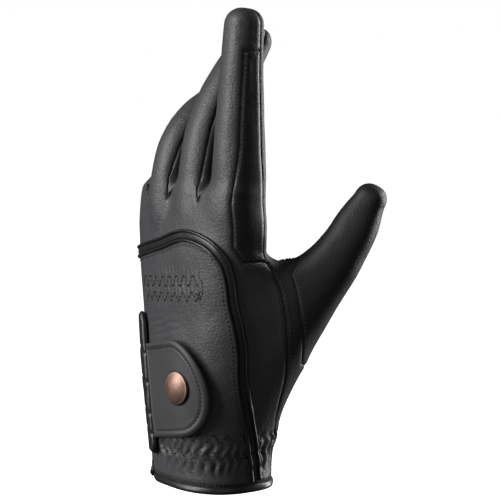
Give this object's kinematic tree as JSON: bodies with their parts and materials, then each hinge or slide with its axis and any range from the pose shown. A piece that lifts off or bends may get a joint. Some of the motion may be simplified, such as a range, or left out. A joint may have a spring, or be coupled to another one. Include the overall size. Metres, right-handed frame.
{
  "type": "horse riding glove",
  "caption": "Left-hand riding glove in thin dark leather, holding the bend of the worn hand, with piped back trim, a vented cuff and a closing tab with a metal snap.",
  "frame": {"origin": "middle of the wrist opening, at the lower edge of the cuff", "axes": "+Z from the cuff to the fingertips, +Y out of the palm, +X towards the thumb"},
  "size_m": [0.1139, 0.0808, 0.2155],
  "materials": {
    "leather": "soft semi-matte nappa, fine pebbled grain",
    "side_leather": "smoother thin leather for the finger sides",
    "trim_leather": "smooth semi-gloss leather for binding, band and piping",
    "snap_metal": "antique copper-toned satin metal"
  },
  "bodies": {
    "root": {"back_panel": "leather", "wrist_back_panel": "leather", "palm_panel": "leather", "thumb": "leather", "strap_tab": "leather", "index_side_panel": "side_leather", "fourchette_ring_little": "side_leather", "fourchette_middle_ring": "side_leather", "fourchette_index_middle": "side_leather", "hem_binding": "trim_leather", "trim_band": "trim_leather", "trim_piping_outer": "trim_leather", "trim_piping_inner": "trim_leather", "vent_facing": "trim_leather", "snap_cap": "snap_metal", "snap_stud": "snap_metal"}
  },
  "joints": []
}
